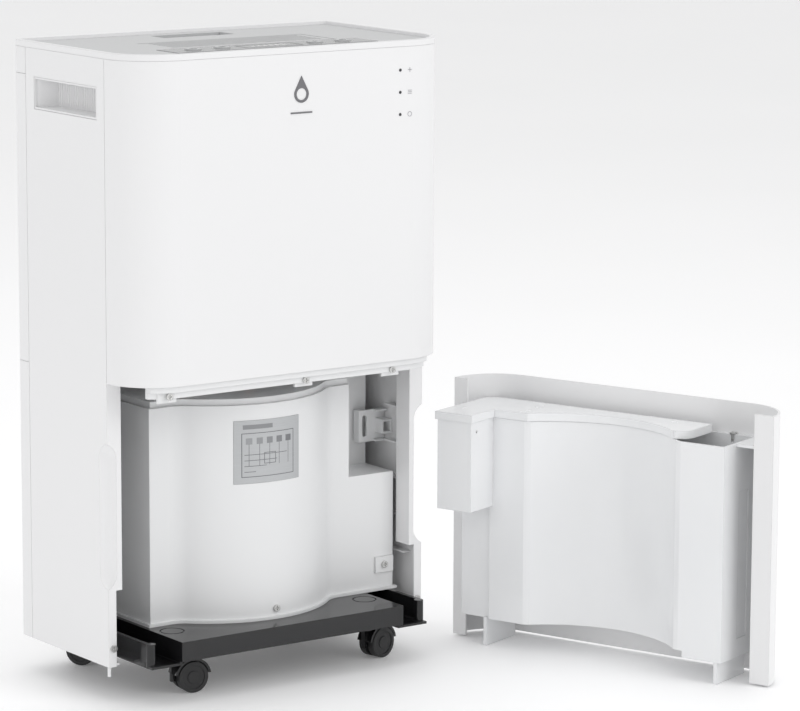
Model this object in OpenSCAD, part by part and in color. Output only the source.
/* [Cabinet] */
// Width of the cabinet across its side panels
cab_w = 360; // [358:1:364]
// Depth of the cabinet from front cover to intake grille
cab_d = 216; // [214:1:220]
// Height of the cabinet above the floor, on its casters
cab_h = 610; // [606:1:640]
// Plan radius of the two front corners
front_r = 50; // [48:1:52]
// Wall of the moulded panels
wall = 2.5; // [2:0.1:3]

/* [Bay] */
// Height of the lower edge of the front cover
bay_top = 304; // [302:1:306]
// Radius of the compressor cover's bulge
bulge_r = 115; // [112:1:117]
// Height of the platform that the tank stands over
deck_z = 60; // [59:0.5:61]

/* [Tank] */
// Angle that the tank is turned to where it stands beside the cabinet
tank_turn = 110; // [105:1:112]
// Distance that the tank is drawn out before it is turned
tank_draw = 61; // [60.6:0.2:64]
// Height that the tank is raised by to go on its rails
tank_raise = 40; // [39.8:0.1:40.4]

/* [Casters] */
// Radius of a caster wheel
wheel_r = 15; // [14:0.5:15.5]
// Distance from a caster's stem to its axle
caster_trail = 18; // [16:1:20]

/* [Hidden] */
$fn = 64;
e = 0.01;

white = [0.93, 0.93, 0.94];
shade = [0.80, 0.81, 0.82];
top_grey = [0.62, 0.63, 0.64];
black = [0.07, 0.07, 0.08];
steel = [0.72, 0.73, 0.75];
copper = [0.80, 0.47, 0.30];

half_w = cab_w / 2;
half_d = cab_d / 2;
seam_y = front_r - half_d + 2;      // side panels start here, behind the corner arcs
rear_y = half_d - 23;               // side panels end here, rear covers begin
rear_r = 8;
panel_z = 34;                       // lower edge of the side panels
rim_z = cab_h - 6;                  // upper edge of the panels, under the top rim
flange_w = 15;                      // front face of a side panel, beside the bay
split_z = cab_h - 31;               // upper edge of the intake grille

grip_z = [107, 248];                // finger scoop in each side panel's front corner
grip_r = 16;
grip_x = half_w + 6.4;
cup_y = [-43, 69.5];                // carrying handle opening
cup_z = [547, 577.5];
cup_depth = 22;

bulge_c = [-2, 44];                 // centre of the compressor cover's bulge
cover_y = -33;                      // flat front of the compressor cover
cover_x = [-120, 162];
cover_top = 276;
recess_x = [109, 170];              // niche that takes the tank's float box
recess_z = [178, 290];

deck_x = 127;                       // half width of the raised platform
deck_y = -100;                      // front of the platform
rail_x = 154;                       // inner face of the side fences
rail_z = 39.4;                        // floor of the rail channels
fence_t = 4;
base_z = 37;
turn_at = [178.3, -53.5];           // upright axis through the right panel's lower front corner
post = [154, -88];                  // rounded front end of the right fence
post_r = 4.5;
peg_len = 9;

tank_mid = -76;                     // middle of the docked tank
vessel_x = [-138, 161];
vessel_back = -40;
vessel_z = 232;                     // top of the vessel's rim
floor_z = 28;
sump_x = -95;
sump_z = 21.5;
float_x = [122, 161];               // float box beside the vessel
float_y = 0;
float_z = 143;
fascia_z = [2, 263.3];
fascia_y = seam_y - 2.5;            // ends of the fascia, just ahead of the side panels
runner_x = 131;

fan_z = 452;
fan_r = 78;

stem_x = 111;
front_stem_y = -57;
rear_stem_y = 72;
caster_at = [[-stem_x, front_stem_y], [stem_x, front_stem_y], [-stem_x, rear_stem_y], [stem_x, rear_stem_y]];
caster_way = [-8, 12, 128, 60];     // direction in which each caster trails

lamp_x = 115;
lamp_zs = [540, 561, 582];
tab_xs = [-140, 12, 112];
ledge_screw_z = bay_top - 9.6;
grille_x = 150;
flap_x = 92;
panel_top = cab_h - 3;
flap_y = [-30, 26];
flap_axis = [flap_y[0] + 2, panel_top - 4];
ctrl_x = 112;
ctrl_y = [-76, -38];
button_xs = [-84, -52, 52, 84];
button_y = -57;
button_r = 7;
cover_screw_x = -2;
tab_at = [150, 86];                 // tab that holds the cover's right wing
pipe_x = [34, -40];
pipe_to = [52, 81];
pipe_y = 30;
pipe_r = 4;
pipe_z = 323;
coil_z = [330, 572];
drain_at = [96, 240];
drain_y = 76;
gland_at = [120, 66];
fan_y = [-62, 26];
screw_xs = [-112, -20, 72];
screw_y = -102;
float_mid = float_x[0] + 13.5;
float_hinge_y = -10;
float_hinge_z = 222;
lid_end = -92;
wheel_t = 7;
hood_t = 4;

function tank_rest() =
    let (c = cos(tank_turn), s = sin(tank_turn), dx = -turn_at[0], dy = tank_mid - tank_draw - turn_at[1])
    [turn_at[0] + c * dx - s * dy, turn_at[1] + s * dx + c * dy];

// ---------- shared shapes ----------

// The cabinet's plan outline, drawn in by i all round
module plan(i = 0) {
    x = half_w - i;
    y = half_d - i;
    k = max(rear_r - i, 1);
    cy = front_r - half_d;
    translate([-x, cy]) square([2 * x, y - k - cy]);
    translate([k - x, 0]) square([2 * (x - k), y]);
    translate([front_r - half_w, -y]) square([cab_w - 2 * front_r, y + cy + 10]);
    for (m = [-1, 1]) {
        translate([m * (half_w - front_r), cy]) circle(front_r - i, $fn = 128);
        translate([m * (x - k), y - k]) circle(k);
    }
}

module slab(z0, z1, i = 0) {
    translate([0, 0, z0]) linear_extrude(z1 - z0) plan(i);
}

// A box given by its two corners
module box(a, b) {
    translate(a) cube(b - a);
}

// Everything ahead of the plane y = at
module ahead(at) {
    translate([-400, at - 400, -50]) cube([800, 400, 900]);
}

module behind(at) {
    translate([-400, at, -50]) cube([800, 400, 900]);
}

// A cylinder along Y, starting at its front end
module rod_y(r, len) {
    rotate([-90, 0, 0]) cylinder(r = r, h = len);
}

module rod_x(r, len) {
    rotate([0, 90, 0]) cylinder(r = r, h = len);
}

// Pan head cross-recess screw whose head faces -Y, seated at the origin
module screw_front(len = 7) {
    difference() {
        translate([0, -2, 0]) rod_y(3.4, 2);
        for (a = [0, 90]) rotate([0, a, 0]) translate([-2.1, -2.5, -0.5]) cube([4.2, 1.6, 1]);
    }
    translate([0, -e, 0]) rod_y(1.5, len);
}

// ---------- cabinet shell ----------

module grip_scoop(r) {
    translate([grip_x, seam_y, grip_z[0] + grip_r]) {
        cylinder(r = r, h = grip_z[1] - grip_z[0] - 2 * grip_r);
        sphere(r);
        translate([0, 0, grip_z[1] - grip_z[0] - 2 * grip_r]) sphere(r);
    }
}

// Right-hand side panel; the left one is its mirror image
module side_panel() {
    color(white) difference() {
        union() {
            box([half_w - wall, seam_y, panel_z], [half_w, rear_y - 0.4, rim_z]);
            // front face beside the bay
            box([half_w - flange_w, seam_y, 107], [half_w, seam_y + wall, bay_top - 0.5]);
            box([half_w - 8.5, seam_y, panel_z], [half_w, seam_y + wall, 107]);
            // return along the inner edge of the front face
            box([half_w - flange_w, seam_y, 107], [half_w - flange_w + wall, seam_y + 22, bay_top - 0.5]);
            // rear return that the back covers meet
            box([half_w - 12, rear_y - 0.4 - wall, panel_z], [half_w, rear_y - 0.4, rim_z - 7]);
            // bottom return that sits beside the base
            box([half_w - 14, seam_y + 4, panel_z], [half_w, rear_y - 6, panel_z + wall]);
            // short ribs inside, beside the bay
            for (z = [96 : 36 : 276]) box([half_w - 11, seam_y + 14, z], [half_w, -8, z + 1.6]);
            // collar round the carrying handle
            box([half_w - 5, cup_y[0] - 3, cup_z[0] - 3], [half_w, cup_y[1] + 3, cup_z[1] + 3]);
            intersection() {
                grip_scoop(grip_r + wall);
                box([half_w - 14, seam_y, 90], [half_w, rear_y, 260]);
            }
        }
        grip_scoop(grip_r);
        box([half_w - 30, cup_y[0], cup_z[0]], [half_w + 5, cup_y[1], cup_z[1]]);
        translate([half_w - 5, seam_y - 5, 52]) rod_y(1.55, 20);
    }
}

module left_side_panel() {
    mirror([1, 0, 0]) side_panel();
}

module right_side_panel() {
    side_panel();
}

// Pocket behind the handle opening: ribbed in front, sloping out behind
module handle_cup() {
    g = 0.2;
    d = half_w - cup_depth;
    bend = 61;
    color(white) difference() {
        box([d - 2, cup_y[0] + g, cup_z[0] + g], [half_w - 0.4, cup_y[1] - g, cup_z[1] - g]);
        translate([0, 0, cup_z[0] + 2]) linear_extrude(cup_z[1] - cup_z[0] - 4) polygon([
            [d, cup_y[0] + 2], [d, bend], [half_w - 3, cup_y[1] - 1.5],
            [half_w + 5, cup_y[1] - 1.5], [half_w + 5, cup_y[0] + 2]]);
    }
    color(white) for (y = [cup_y[0] + 5 : 3.2 : bend - 3])
        translate([d, y, cup_z[0] + 2 - e]) cylinder(r = 1, h = cup_z[1] - cup_z[0] - 4 + 2 * e, $fn = 16);
}

module left_handle_cup() {
    mirror([1, 0, 0]) handle_cup();
}

module right_handle_cup() {
    handle_cup();
}

module front_cover() {
    color(white) difference() {
        union() {
            difference() {
                slab(bay_top, rim_z);
                slab(bay_top + wall, rim_z + 1, wall);
            }
            // rim that the lower crossbar is screwed to
            difference() {
                slab(bay_top, bay_top + 12, 6);
                slab(bay_top - 1, bay_top + 13, 8);
            }
        }
        behind(seam_y - 0.4);
        slab(bay_top - 1, bay_top + wall + 1, 14);
        for (z = lamp_zs) translate([lamp_x, -half_d - 1, z]) rod_y(1.5, 6);
    }
}

// Curved ledge under the front cover
module front_crossbar() {
    color(white) difference() {
        union() {
            slab(bay_top - 6, bay_top - 0.3, 4);
            slab(bay_top - 12, bay_top - 5.9, 8);
        }
        slab(bay_top - 14, bay_top + 1, 11);
        behind(fascia_y - 3.3);
        for (m = [-1, 1]) translate([m * 207, -100, 300]) cube([100, 200, 40], center = true);
        for (x = tab_xs) translate([x, -half_d, ledge_screw_z]) rod_y(1.55, 30);
    }
    // screw tabs at the ends and the middle
    color(white) for (x = tab_xs) difference() {
        box([x - 10, 11 - half_d, bay_top - 16], [x + 10, 14 - half_d, bay_top - 0.3]);
        translate([x, -half_d, ledge_screw_z]) rod_y(1.55, 30);
    }
}

module bay_ceiling() {
    color(shade) difference() {
        box([-136, 18 - half_d, bay_top], [136, 60, bay_top + 2]);
        for (x = pipe_x) translate([x, pipe_y, bay_top - 1]) cylinder(r = 7, h = 5);
    }
    // divider lip that hangs behind the crossbar
    color(shade) box([-136, 18 - half_d, bay_top - 14], [136, 20 - half_d, bay_top + e]);
}

module lower_rear_cover() {
    color(white) difference() {
        intersection() {
            difference() {
                slab(panel_z, bay_top - 0.3);
                slab(panel_z + wall, bay_top, wall);
            }
            behind(rear_y);
        }
        translate([drain_at[0], 90, drain_at[1]]) rod_y(9.1, 40);
        translate([gland_at[0], 90, gland_at[1]]) rod_y(8.1, 40);
        for (i = [0 : 7]) box([-100, half_d - 5, 80 + 12 * i], [0, half_d + 5, 85 + 12 * i]);
    }
}

module intake_grille() {
    z0 = bay_top;
    z1 = split_z - 0.3;
    color(white) difference() {
        intersection() {
            slab(z0, z1);
            behind(rear_y);
        }
        intersection() {
            slab(z0 + wall, z1 - wall, wall);
            behind(rear_y - 1);
        }
        // mouth that the filter is drawn out of
        box([-grille_x - 5, rear_y - 1, z1 - wall - 1], [grille_x + 5, half_d - 5, z1 + 1]);
        for (i = [0 : 20]) box([-grille_x, half_d - 5, z0 + 16 + 12 * i], [-2, half_d + 5, z0 + 21.5 + 12 * i]);
        for (i = [0 : 20]) box([2, half_d - 5, z0 + 16 + 12 * i], [grille_x, half_d + 5, z0 + 21.5 + 12 * i]);
    }
    // guides and ledge that hold the filter
    color(white) {
        for (m = [-1, 1]) mirror([m < 0 ? 1 : 0, 0, 0])
            box([grille_x - 0.6, 97.4, z0 + wall - e], [grille_x + 2, half_d - wall + e, z1 - 10]);
        box([-grille_x, 98, z0 + wall - e], [grille_x, half_d - wall + e, z0 + 5.6]);
    }
}

module rear_header() {
    color(white) difference() {
        intersection() {
            difference() {
                slab(split_z, rim_z);
                slab(split_z - 1, rim_z + 1, wall);
            }
            behind(rear_y);
        }
    }
}

// Frame with a mesh of thin bars, drawn upwards out of the grille
module air_filter() {
    y0 = half_d - 9;
    y1 = half_d - 5.2;
    z0 = bay_top + 6;
    z1 = split_z - 8;
    color(top_grey) difference() {
        box([-grille_x + 1, y0, z0], [grille_x - 1, y1, z1]);
        for (i = [0 : 5], j = [0 : 4]) {
            x = -grille_x + 7 + i * 48;
            z = z0 + 6 + j * 51;
            box([x, y0 - 1, z], [x + 44, y1 + 1, z + 47]);
        }
    }
    color(shade) for (i = [0 : 5], j = [0 : 4], k = [1 : 3]) {
        x = -grille_x + 7 + i * 48;
        z = z0 + 6 + j * 51;
        box([x - 1, (y0 + y1) / 2 - 0.4, z + k * 12 - 0.4], [x + 45, (y0 + y1) / 2 + 0.4, z + k * 12 + 0.4]);
    }
}

// ---------- top ----------

module top_rim() {
    color(white) difference() {
        slab(rim_z + 0.1, cab_h);
        slab(rim_z - 1, cab_h + 1, 5);
    }
}

module top_panel() {
    color(top_grey) difference() {
        slab(rim_z - 6, panel_top, 5.2);
        slab(rim_z - 7, panel_top - wall, 8);
        box([-flap_x - 1, flap_y[0] - 2.8, rim_z - 8], [flap_x + 1, flap_y[1] + 1, cab_h]);
        box([-ctrl_x - 0.2, ctrl_y[0] - 0.2, rim_z - 8], [ctrl_x + 0.2, ctrl_y[1] + 0.2, cab_h]);
        // pocket for the fingers that release the grille
        box([-40, 62, rim_z - 8], [40, 88, cab_h]);
    }
    color(top_grey) difference() {
        box([-42, 60, rim_z - 12], [42, 90, panel_top - wall + e]);
        box([-40, 62, rim_z - 10], [40, 88, cab_h]);
    }
    // ears that carry the outlet flap
    color(top_grey) for (m = [-1, 1]) mirror([m < 0 ? 1 : 0, 0, 0]) difference() {
        box([flap_x + 1, flap_axis[0] - 4, panel_top - 8], [flap_x + 8, flap_axis[0] + 4, panel_top - wall + e]);
        flap_pins(1.05);
    }
}

module flap_pins(r) {
    translate([0, flap_axis[0], flap_axis[1]]) rotate([0, 90, 0]) cylinder(r = r, h = 2 * flap_x + 12, center = true);
}

// Louvred flap over the air outlet, on two stub pins
module outlet_flap() {
    color(top_grey) difference() {
        box([-flap_x, flap_y[0], panel_top - 2.2], [flap_x, flap_y[1], panel_top - 0.2]);
        for (i = [0 : 5]) box([-flap_x + 8, flap_y[0] + 8 + 8 * i, panel_top - 3], [flap_x - 8, flap_y[0] + 12 + 8 * i, cab_h]);
    }
    color(top_grey) for (x = [-flap_x + 8.1 : 25.1 : flap_x - 8.1])
        box([x - 1, flap_y[0] + 6, panel_top - 5], [x + 1, flap_y[1] - 6, panel_top - 1]);
    // arms under its front edge, with their pins
    color(top_grey) for (m = [-1, 1]) mirror([m < 0 ? 1 : 0, 0, 0]) {
        box([flap_x - 3, flap_y[0] + 0.5, panel_top - 5.4], [flap_x, flap_axis[0] + 2, panel_top - 1]);
        translate([flap_x - 1, flap_axis[0], flap_axis[1]]) rod_x(1, 6.5);
    }
}

module control_panel() {
    color(black) difference() {
        box([-ctrl_x, ctrl_y[0], panel_top - wall], [ctrl_x, ctrl_y[1], panel_top + 0.4]);
        for (x = button_xs) translate([x, button_y, panel_top - 5]) cylinder(r = button_r + 0.3, h = 10);
        // shallow frame round the display
        difference() {
            box([-32, ctrl_y[0] + 7, panel_top], [32, ctrl_y[1] - 7, panel_top + 1]);
            box([-30, ctrl_y[0] + 9, panel_top - 1], [30, ctrl_y[1] - 9, panel_top + 2]);
        }
    }
}

module button_at(i) {
    color(shade) translate([button_xs[i], button_y, 0]) {
        translate([0, 0, panel_top - 7]) cylinder(r = button_r, h = 8.6);
        translate([0, 0, panel_top - 8]) cylinder(r = 3, h = 2);
    }
}

module button_power() { button_at(0); }
module button_mode() { button_at(1); }
module button_fan() { button_at(2); }
module button_timer() { button_at(3); }

module front_lamps() {
    color(black) for (z = lamp_zs) translate([lamp_x, -half_d - 0.2, z]) {
        rod_y(1.4, wall + 2);
        translate([0, wall + 0.3, 0]) rod_y(3, 2);
    }
}

// Plain water-drop badge, with no lettering
module front_badge() {
    color(shade) translate([2, -half_d, 566]) rotate([90, 0, 0]) linear_extrude(0.6) difference() {
        union() {
            circle(8);
            polygon([[-7.2, 3.5], [0, 17], [7.2, 3.5]]);
        }
        circle(5.6);
    }
    color(shade) box([-10, -half_d - 0.6, 548], [14, -half_d, 549.4]);
}

// ---------- bay ----------

// Plan outline of the compressor cover, drawn in by i: its bulge runs smoothly into two flat wings
module cover_plan(i = 0) {
    r = 25 + i;
    reach = bulge_r + 25;
    cy = cover_y - 25;
    cx = sqrt(reach * reach - pow(bulge_c[1] - cy, 2));
    k = (bulge_r - i) / reach;
    difference() {
        union() {
            translate([cover_x[0] + i, cover_y + i]) square([cover_x[1] - cover_x[0] - 2 * i, 90 - i]);
            translate(bulge_c) circle(bulge_r - i, $fn = 180);
            for (m = [-1, 1]) translate([bulge_c[0], 0]) mirror([m < 0 ? 1 : 0, 0]) difference() {
                polygon([[cx, cy + r + 5], [cx, cy + r - e], [cx * k, bulge_c[1] - (bulge_c[1] - cy) * k],
                    [cx * k - 4, cy + r + 5]]);
                translate([cx, cy]) circle(r, $fn = 96);
            }
        }
        translate([-200, cover_y + 90]) square([400, 200]);
    }
}

module compressor_cover() {
    color(white) difference() {
        union() {
            translate([0, 0, deck_z]) linear_extrude(cover_top - deck_z - 6) cover_plan();
            translate([0, 0, cover_top - 6 - e]) linear_extrude(6) cover_plan(3);
            // foot flange that stands on the platform
            translate([0, 0, deck_z]) linear_extrude(3) difference() {
                cover_plan(-3);
                translate([cover_x[0] + 3, 0]) square([300, 200]);
            }
        }
        translate([0, 0, deck_z - 1]) linear_extrude(cover_top - deck_z - 7) cover_plan(wall + 0.5);
        // niche for the float box
        box([recess_x[0], cover_y - 5, recess_z[0]], [recess_x[1], 14, recess_z[1]]);
        translate([cover_screw_x, bulge_front(cover_screw_x) - 1, deck_z + 10]) rod_y(1.6, 10);
        for (x = pipe_x) translate([x, pipe_y, cover_top - 10]) cylinder(r = 7, h = 12);
        translate([tab_at[0], cover_y - 5, tab_at[1]]) rod_y(1.6, 12);
    }
    // screwed tab on the right wing
    color(white) difference() {
        box([tab_at[0] - 10, cover_y - 2.5, tab_at[1] - 8], [cover_x[1] - 1, cover_y + e, tab_at[1] + 8]);
        translate([tab_at[0], cover_y - 5, tab_at[1]]) rod_y(1.6, 10);
    }
    // walls of the niche
    color(white) {
        box([recess_x[0] - wall, cover_y + 2, recess_z[0] - wall], [recess_x[0], 14, cover_top - 7]);
        box([recess_x[0] - wall, 14 - e, recess_z[0] - wall], [cover_x[1] - wall, 14 + wall, cover_top - 7]);
        box([recess_x[0] - wall, cover_y + 2, recess_z[0] - wall], [cover_x[1] - wall, 14 + wall, recess_z[0]]);
    }
}

function bulge_front(x) = bulge_c[1] - sqrt(bulge_r * bulge_r - pow(x - bulge_c[0], 2));

// Thin curved plate with the wiring diagram, wrapped on the bulge
module wiring_label() {
    color(steel) intersection() {
        translate([bulge_c[0], bulge_c[1], 194]) difference() {
            cylinder(r = bulge_r + 0.35, h = 61, $fn = 180);
            translate([0, 0, -1]) cylinder(r = bulge_r + 0.02, h = 63, $fn = 180);
        }
        box([-45, -200, 190], [26, 0, 260]);
    }
}

// Bracket for the full-tank sensor, reaching into the niche from the side wall
module sensor_bracket() {
    x1 = half_w - wall - 0.3;
    color(white) difference() {
        union() {
            box([146, 3, 202], [x1, 5.5, 234]);
            box([146, 3, 202], [148, 12, 234]);
            box([164, -2, 202], [x1, 3 + e, 204]);
            box([164, -2, 232], [x1, 3 + e, 234]);
            box([166, -10, 211], [x1, 3 + e, 225]);
        }
        for (z = [210, 226]) translate([153, 0, z]) rod_y(2.6, 10);
        box([150.4, 0, 210], [155.6, 10, 226]);
        box([167, -11, 213], [x1 - 2, 2, 223]);
    }
}

// ---------- base ----------

module base_tray() {
    color(black) {
        difference() {
            union() {
                // platform with its skirt
                box([-deck_x, deck_y, base_z + 4], [deck_x, rear_y - 4, deck_z]);
                // rail channels and their fences
                for (m = [-1, 1]) mirror([m < 0 ? 1 : 0, 0, 0]) {
                    box([deck_x - 3, deck_y + 4, base_z], [deck_x, rear_y - 4, deck_z - 1]);
                    box([deck_x - e, deck_y + 4, base_z], [rail_x + fence_t, rear_y - 4, rail_z]);
                    box([rail_x, post[1], base_z], [rail_x + fence_t, rear_y - 4, deck_z]);
                    translate([post[0], post[1], base_z]) cylinder(r = post_r, h = deck_z - base_z);
                }
            }
            // hollow under the platform
            box([-deck_x + 2.9, deck_y + 3, base_z - 1], [deck_x - 2.9, rear_y - 7, deck_z - 3]);
            for (c = caster_at) translate([c[0], c[1], deck_z - 0.8]) difference() {
                cylinder(r = 12, h = 2);
                translate([0, 0, -1]) cylinder(r = 10.5, h = 4);
            }
        }
        // sockets for the caster stems and stiffening ribs
        for (c = caster_at) difference() {
            translate([c[0], c[1], base_z + 2]) cylinder(r = 9, h = deck_z - base_z - 4);
            translate([c[0], c[1], base_z]) cylinder(r = 4.05, h = 20);
        }
        for (x = [-70, 0, 70]) box([x - 1.2, deck_y + 2, base_z + 4], [x + 1.2, rear_y - 6, deck_z - 2]);
    }
}

// Short rubber peg under a side panel's front corner
module corner_peg() {
    translate([0, 0, panel_z - peg_len]) cylinder(r = 1.7, h = peg_len);
}

module corner_peg_left() {
    color(shade) translate([-turn_at[0], turn_at[1], 0]) corner_peg();
}

module corner_peg_right() {
    color(shade) translate([turn_at[0], turn_at[1], 0]) corner_peg();
}

module casing_screws() {
    color(steel) {
        for (m = [-1, 1]) translate([m * (half_w - 5), seam_y, 52]) screw_front(8);
        for (x = tab_xs) translate([x, 8 - half_d, ledge_screw_z]) screw_front(8);
        translate([cover_screw_x, bulge_front(cover_screw_x), deck_z + 10]) screw_front(9);
        translate([tab_at[0], cover_y - 2.5, tab_at[1]]) screw_front(9);
    }
}

// ---------- works inside ----------

module compressor() {
    color(black) translate([bulge_c[0], 20, 0]) {
        translate([0, 0, 76]) cylinder(r = 58, h = 120);
        translate([0, 0, 196 - e]) cylinder(r = 50, h = 8);
        translate([0, 0, 204 - 2 * e]) cylinder(r = 32, h = 6);
        translate([0, 0, 74]) linear_extrude(3) difference() {
            circle(70);
            for (a = [30 : 120 : 270]) rotate(a) translate([64, 0]) circle(3.1);
        }
    }
}

module compressor_feet() {
    color(black) translate([bulge_c[0], 20, deck_z]) for (a = [30 : 120 : 270])
        rotate(a) translate([64, 0, 0]) {
            cylinder(r = 6, h = 73.9 - deck_z);
            cylinder(r = 2.9, h = 81 - deck_z);
        }
}

module coil_block(y0, depth) {
    color(steel) difference() {
        box([-128, y0, coil_z[0]], [128, y0 + depth, coil_z[1]]);
        for (i = [0 : 31]) box([-121 + 7.8 * i, y0 - 1, coil_z[0] + 4], [-118 + 7.8 * i, y0 + depth - 3, coil_z[1] - 4]);
    }
}

module evaporator() {
    coil_block(70, 22);
}

module condenser() {
    coil_block(40, 24);
}

// Two copper lines between the compressor and the coils
module refrigerant_pipes() {
    for (i = [0, 1]) color(copper) {
        translate([pipe_x[i], pipe_y, 204.1]) cylinder(r = pipe_r, h = pipe_z - 204.1);
        translate([pipe_x[i], pipe_y, pipe_z]) sphere(pipe_r);
        translate([pipe_x[i], pipe_y, pipe_z]) rod_y(pipe_r, pipe_to[i] - pipe_y);
        translate([pipe_x[i], pipe_to[i], pipe_z]) sphere(pipe_r);
        translate([pipe_x[i], pipe_to[i], pipe_z]) cylinder(r = pipe_r, h = coil_z[0] - pipe_z - 0.1);
    }
}

module drip_tray() {
    color(shade) difference() {
        box([-140, 62, bay_top + 3], [140, 97, bay_top + 13]);
        box([-138, 64, bay_top + 5], [138, 95, bay_top + 17]);
        translate([drain_at[0], drain_y, bay_top]) cylinder(r = 3, h = 10);
    }
}

// Hose tail for continuous draining, fed by a pipe from the drip tray
module drain_spigot() {
    top = bay_top + 2.9 - drain_at[1];
    color(white) translate([drain_at[0], 0, drain_at[1]]) difference() {
        union() {
            translate([0, drain_y, 0]) rod_y(7, half_d - 0.2 - drain_y);
            translate([0, half_d - wall - 3.2, 0]) rod_y(12, 3);
            translate([0, half_d - 10, 0]) rod_y(9, 9.8);
            translate([0, drain_y, -7]) cylinder(r = 7, h = 14);
            translate([0, drain_y, 0]) cylinder(r = 5, h = top);
        }
        translate([0, drain_y, 0]) rod_y(5, 60);
        translate([0, drain_y, 0]) cylinder(r = 3, h = top + 1);
    }
}

// Empty gland for the supply lead
module cord_gland() {
    color(black) translate([gland_at[0], 0, gland_at[1]]) difference() {
        union() {
            translate([0, 96, 0]) rod_y(8, 11.9);
            translate([0, half_d - wall - 3.2, 0]) rod_y(11, 3);
        }
        translate([0, 90, 0]) rod_y(4, 30);
    }
}

module fan_housing() {
    color(shade) difference() {
        union() {
            translate([0, fan_y[0], fan_z]) rod_y(fan_r + 12, fan_y[1] - fan_y[0]);
            box([-flap_x + 4, fan_y[0], fan_z], [fan_r + 12, fan_y[1], rim_z - 8]);
        }
        translate([0, fan_y[0] + 3, fan_z]) rod_y(fan_r + 9, fan_y[1] - fan_y[0] - 6);
        box([-flap_x + 7, fan_y[0] + 3, fan_z], [fan_r + 9, fan_y[1] - 3, rim_z]);
        // inlet eye towards the coils, and the motor's hole in front
        translate([0, fan_y[1] - 4, fan_z]) rod_y(fan_r - 12, 10);
        translate([0, fan_y[0] - 1, fan_z]) rod_y(20, 5);
    }
}

module fan_rotor() {
    len = 56;
    color(top_grey) translate([0, fan_y[0] + 12, fan_z]) {
        difference() {
            union() {
                rod_y(fan_r, 3);
                rod_y(14, 26);
            }
            translate([0, -1, 0]) rod_y(4.05, 40);
        }
        translate([0, len - 3, 0]) difference() {
            rod_y(fan_r, 3);
            translate([0, -1, 0]) rod_y(fan_r - 12, 6);
        }
        for (a = [0 : 10 : 350]) rotate([0, a, 0]) translate([fan_r - 7, 2.9, -0.6]) cube([6, len - 5.8, 1.4]);
    }
}

module fan_motor() {
    color(steel) translate([0, 0, fan_z]) {
        translate([0, -98, 0]) rod_y(34, 35.5);
        translate([0, fan_y[0] - 1, 0]) rod_y(18, 3);
        translate([0, fan_y[0], 0]) rod_y(4, 36);
    }
}

module electronics_box() {
    color(shade) difference() {
        box([104, -80, 330], [160, -44, 500]);
        box([106, -81, 332], [158, -46, 498]);
    }
}

module circuit_board() {
    color([0.1, 0.35, 0.2]) box([109, -50, 338], [155, -48.4, 492]);
    color(black) {
        box([114, -62, 350], [132, -50 + e, 384]);
        box([114, -70, 400], [150, -50 + e, 430]);
        translate([143, -50 + e, 366]) rotate([90, 0, 0]) cylinder(r = 7, h = 22);
    }
}

// ---------- tank ----------

// Puts the tank, drawn as docked but at floor height, where it stands
module beside() {
    translate([tank_rest()[0], tank_rest()[1], 0]) rotate([0, 0, tank_turn])
        translate([0, -tank_mid, 0]) children();
}

// Plan outline of the vessel, drawn in by i: its back is hollowed to clear the bulge
module vessel_plan(i = 0) {
    r = 18 - i;
    k = bulge_r + 4 + i;
    reach = bulge_r + 22;
    cy = vessel_back - 18;
    cx = sqrt(reach * reach - pow(bulge_c[1] - cy, 2));
    difference() {
        intersection() {
            translate([vessel_x[0] + i, -half_d]) square([vessel_x[1] - vessel_x[0] - 2 * i, vessel_back + half_d - i]);
            plan(4 + i);
        }
        translate(bulge_c) circle(k, $fn = 180);
        // eased corners where the hollow meets the straight back
        for (m = [-1, 1]) translate([bulge_c[0], 0]) mirror([m < 0 ? 1 : 0, 0]) difference() {
            polygon([[cx, cy + r + 1], [cx * k / reach - 2, cy + r + 1],
                [cx * k / reach, bulge_c[1] - (bulge_c[1] - cy) * k / reach]]);
            translate([cx, cy]) circle(r + 0.3);
        }
        // the end under the float box is set back
        translate([float_x[0] + 4 - i, vessel_back - 4 - i]) square([80, 20]);
    }
}

module float_plan(i = 0) {
    translate([float_x[0] + i, vessel_back - 12]) square([float_x[1] - float_x[0] - 2 * i, float_y - vessel_back + 12 - i]);
}

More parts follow.
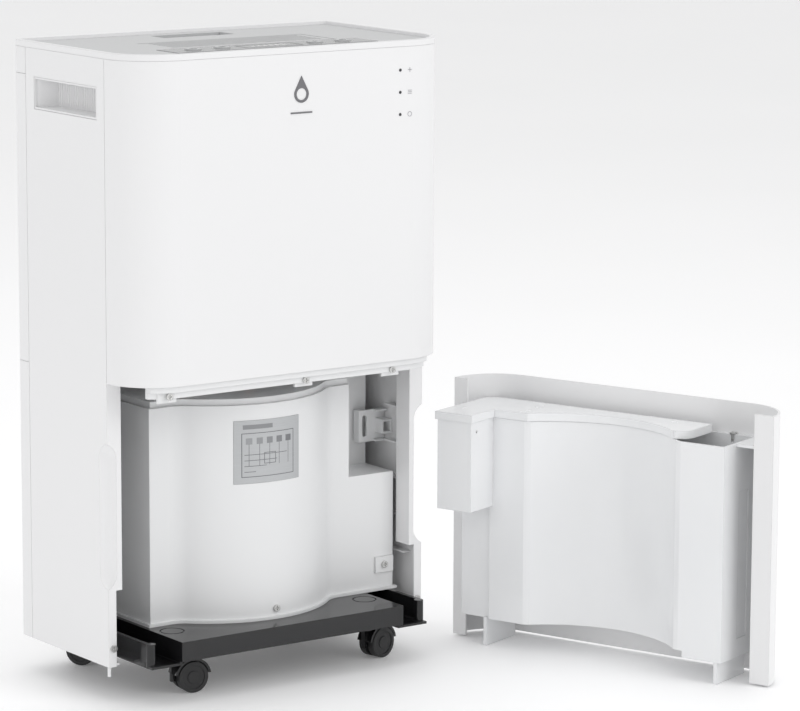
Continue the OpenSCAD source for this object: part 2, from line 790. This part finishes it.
module tank_vessel() {
    t = 2.2;
    color(white) beside() {
        difference() {
            union() {
                translate([0, 0, floor_z]) linear_extrude(vessel_z - floor_z) vessel_plan();
                translate([0, 0, sump_z]) linear_extrude(10) intersection() {
                    vessel_plan();
                    translate([-200, -200]) square([200 + sump_x, 300]);
                }
                translate([0, 0, float_z]) linear_extrude(vessel_z - float_z) float_plan();
                // shelf that reaches the fascia
                translate([0, 0, vessel_z - 3]) linear_extrude(3) intersection() {
                    plan(2.7);
                    difference() {
                        translate([-200, -half_d]) square([400, half_d + fascia_y - 4]);
                        translate(bulge_c) circle(bulge_r + 4, $fn = 180);
                    }
                }
                for (m = [-1, 1]) box([m * runner_x - 2, -95, 0], [m * runner_x + 2, vessel_back - 2, floor_z + 1]);
            }
            translate([0, 0, floor_z + t]) linear_extrude(vessel_z) vessel_plan(t);
            translate([0, 0, sump_z + t]) linear_extrude(12) intersection() {
                vessel_plan(t);
                translate([-200, -200]) square([200 + sump_x - t, 300]);
            }
            translate([0, 0, float_z + t]) linear_extrude(vessel_z) float_plan(t);
            // way between the vessel and the float box
            box([float_x[0] + t, vessel_back - 11, float_z + t], [float_x[1] - t, vessel_back + 2, vessel_z + 1]);
            for (x = screw_xs) translate([x, screw_y, vessel_z - 8]) cylinder(r = 1.55, h = 10);
            // grip groove down the end face
            box([vessel_x[0] - 5, -88, 40], [vessel_x[0] + 0.9, -70, 184]);
            translate([float_x[0] - 1, float_hinge_y, float_hinge_z]) rod_x(1.55, 43);
        }
    }
}

module tank_float() {
    color([0.85, 0.86, 0.88]) beside() difference() {
        union() {
            box([float_x[0] + 5, -34, 150], [float_x[0] + 22, -14, 186]);
            box([float_mid - 4, -18, 180], [float_mid + 4, -14, float_hinge_z - 1]);
            translate([float_mid - 5, float_hinge_y, float_hinge_z]) rod_x(4.5, 10);
            box([float_mid - 4, -18, float_hinge_z - 4], [float_mid + 4, float_hinge_y, float_hinge_z + 3]);
        }
        translate([float_mid - 20, float_hinge_y, float_hinge_z]) rod_x(1.55, 40);
    }
}

module float_pin() {
    color(steel) beside() translate([float_x[0] + 0.4, float_hinge_y, float_hinge_z])
        rod_x(1.5, float_x[1] - float_x[0] - 0.8);
}

module lid_plan(i = 0) {
    difference() {
        intersection() {
            union() {
                translate([lid_end + 14, -half_d]) square([float_x[0] - lid_end, vessel_back + 1 + half_d - i]);
                translate([lid_end + 14, -62]) circle(14 - i);
                translate([lid_end + i, -104 + i]) square([30, 42]);
                translate([float_x[0] - 2 + i, -half_d]) square([float_x[1] - float_x[0] + 4 - 2 * i, half_d + float_y + 2 - i]);
            }
            plan(4.6 + i);
        }
        translate(bulge_c) circle(bulge_r + 3 + i, $fn = 180);
        translate([-200, -half_d - 5]) square([400, 16 + i]);
    }
}

module tank_lid() {
    color([0.9, 0.91, 0.93]) beside() {
        translate([0, 0, vessel_z + 6.3]) linear_extrude(2) lid_plan();
        translate([0, 0, vessel_z + 0.3]) linear_extrude(6 + e) difference() {
            lid_plan();
            lid_plan(2);
        }
    }
}

module tank_fascia() {
    z0 = fascia_z[0];
    z1 = fascia_z[1];
    color(white) beside() {
        difference() {
            slab(z0, z1);
            slab(z0 - 1, z1 + 1, wall);
            behind(fascia_y);
        }
        // inward flange at each end
        for (m = [-1, 1]) mirror([m < 0 ? 1 : 0, 0, 0])
            box([half_w - (m < 0 ? 21 : 15), fascia_y - 2.5, z0], [half_w - 0.2, fascia_y, z1]);
    }
}

module fascia_screws() {
    color(steel) beside() for (x = screw_xs) translate([x, screw_y, vessel_z]) {
        translate([0, 0, -6]) cylinder(r = 1.5, h = 7);
        difference() {
            cylinder(r = 3.2, h = 1.9);
            for (a = [0, 90]) rotate(a) translate([-2.1, -0.5, 1]) cube([4.2, 1, 2]);
        }
    }
}

// ---------- casters ----------

module caster_frame(i) {
    translate([caster_at[i][0], caster_at[i][1], 0]) rotate([0, 0, caster_way[i]]) children();
}

// Twin-wheel caster hood with its moulded stem, trailing along +X
module caster_hood(i) {
    color(black) caster_frame(i) difference() {
        union() {
            translate([0, 0, 30]) cylinder(r = 4, h = 25.5);
            translate([0, 0, 30]) cylinder(r = 9, h = 8.6);
            intersection() {
                translate([caster_trail, 0, wheel_r]) rotate([90, 0, 0])
                    cylinder(r = wheel_r + 3.5, h = 2 * wheel_t + hood_t, center = true);
                box([-9, -20, wheel_r + 3], [60, 20, 60]);
            }
            box([-2, -hood_t / 2, wheel_r - 4], [caster_trail, hood_t / 2, 34]);
            translate([caster_trail, hood_t / 2, wheel_r]) rotate([90, 0, 0]) cylinder(r = 6, h = hood_t);
        }
        for (m = [-1, 1]) translate([caster_trail, m * (hood_t / 2 + 10), wheel_r])
            rotate([90, 0, 0]) cylinder(r = wheel_r + 1, h = 20, center = true);
        translate([caster_trail, 30, wheel_r]) rotate([90, 0, 0]) cylinder(r = 2.02, h = 60);
    }
}

module caster_axle(i) {
    len = 2 * wheel_t + hood_t - 3.6;
    color(steel) caster_frame(i) translate([caster_trail, len / 2, wheel_r]) rotate([90, 0, 0]) cylinder(r = 2, h = len);
}

module caster_wheels(i) {
    color(black) caster_frame(i) for (m = [-1, 1])
        translate([caster_trail, m * (hood_t / 2 + 0.4 + wheel_t / 2), wheel_r]) rotate([90, 0, 0]) difference() {
            cylinder(r = wheel_r, h = wheel_t, center = true);
            translate([0, 0, m * 1.5]) cylinder(r = 2.06, h = wheel_t, center = true);
            translate([0, 0, -m * (wheel_t / 2)]) difference() {
                cylinder(r = 11.5, h = 1.6, center = true);
                cylinder(r = 6, h = 3, center = true);
            }
        }
}

module caster_hood_fl() { caster_hood(0); }
module caster_hood_fr() { caster_hood(1); }
module caster_hood_rl() { caster_hood(2); }
module caster_hood_rr() { caster_hood(3); }
module caster_axle_fl() { caster_axle(0); }
module caster_axle_fr() { caster_axle(1); }
module caster_axle_rl() { caster_axle(2); }
module caster_axle_rr() { caster_axle(3); }
module caster_wheels_fl() { caster_wheels(0); }
module caster_wheels_fr() { caster_wheels(1); }
module caster_wheels_rl() { caster_wheels(2); }
module caster_wheels_rr() { caster_wheels(3); }

left_side_panel();
right_side_panel();
left_handle_cup();
right_handle_cup();
front_cover();
front_crossbar();
bay_ceiling();
lower_rear_cover();
intake_grille();
rear_header();
air_filter();
top_rim();
top_panel();
outlet_flap();
control_panel();
button_power();
button_mode();
button_fan();
button_timer();
front_lamps();
front_badge();
compressor_cover();
wiring_label();
sensor_bracket();
base_tray();
casing_screws();
compressor();
compressor_feet();
evaporator();
condenser();
refrigerant_pipes();
drip_tray();
drain_spigot();
fan_housing();
fan_rotor();
fan_motor();
electronics_box();
circuit_board();
cord_gland();
corner_peg_left();
corner_peg_right();
tank_fascia();
tank_vessel();
tank_lid();
tank_float();
float_pin();
fascia_screws();
caster_hood_fl();
caster_hood_fr();
caster_hood_rl();
caster_hood_rr();
caster_axle_fl();
caster_axle_fr();
caster_axle_rl();
caster_axle_rr();
caster_wheels_fl();
caster_wheels_fr();
caster_wheels_rl();
caster_wheels_rr();
